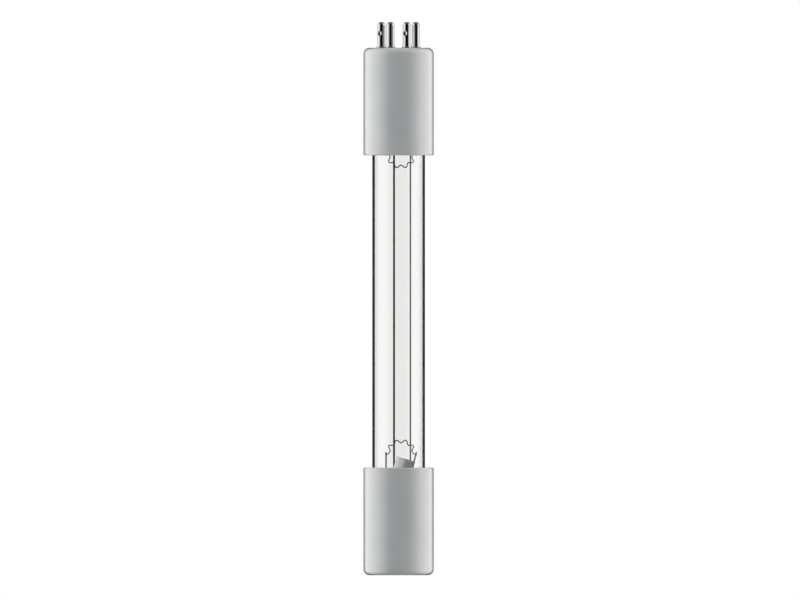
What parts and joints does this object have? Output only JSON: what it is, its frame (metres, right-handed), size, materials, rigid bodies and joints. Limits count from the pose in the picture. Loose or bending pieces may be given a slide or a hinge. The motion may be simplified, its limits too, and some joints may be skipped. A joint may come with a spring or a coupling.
{
  "type": "uv-c lamp",
  "caption": "Straight ultraviolet lamp: a clear tube with a coiled filament at each end between two round ceramic caps, and contact pins on one cap.",
  "frame": {"origin": "centre of the far cap's closed face, where the lamp stands", "axes": "+Z along the lamp towards the pins, X across the filaments, +Y towards the return wires at the tube's back"},
  "size_m": [0.02, 0.02, 0.1573],
  "materials": {
    "quartz_glass": "clear polished",
    "stem_glass": "clear, fire polished",
    "cap_ceramic": "smooth satin",
    "basing_cement": "matt, fine grained",
    "pin_nickel": "polished nickel plate",
    "return_wire_oxide": "black oxide",
    "return_wire_bare": "drawn wire",
    "post_nickel": "drawn nickel",
    "lead_copper": "drawn copper",
    "filament_tungsten": "coiled wire with a pale emitter coat",
    "strip_steel": "rolled strip",
    "sleeve_brass": "crimped"
  },
  "bodies": {
    "root": {"quartz_tube": "quartz_glass", "far_end_cap": "cap_ceramic", "socket_end_cap": "cap_ceramic", "far_cement_ring": "basing_cement", "socket_cement_ring": "basing_cement", "far_stem": "stem_glass", "socket_stem": "stem_glass", "far_left_post": "post_nickel", "far_right_post": "post_nickel", "socket_left_post": "post_nickel", "socket_right_post": "post_nickel", "far_filament": "filament_tungsten", "socket_filament": "filament_tungsten", "dispenser_strip": "strip_steel", "far_left_lead": "lead_copper", "far_right_lead": "lead_copper", "socket_left_lead": "lead_copper", "socket_right_lead": "lead_copper", "left_return_wire": "return_wire_oxide", "right_return_wire": "return_wire_bare", "left_crimp_sleeve": "sleeve_brass", "right_crimp_sleeve": "sleeve_brass", "contact_pin_1": "pin_nickel", "contact_pin_2": "pin_nickel", "contact_pin_3": "pin_nickel", "contact_pin_4": "pin_nickel"}
  },
  "joints": []
}
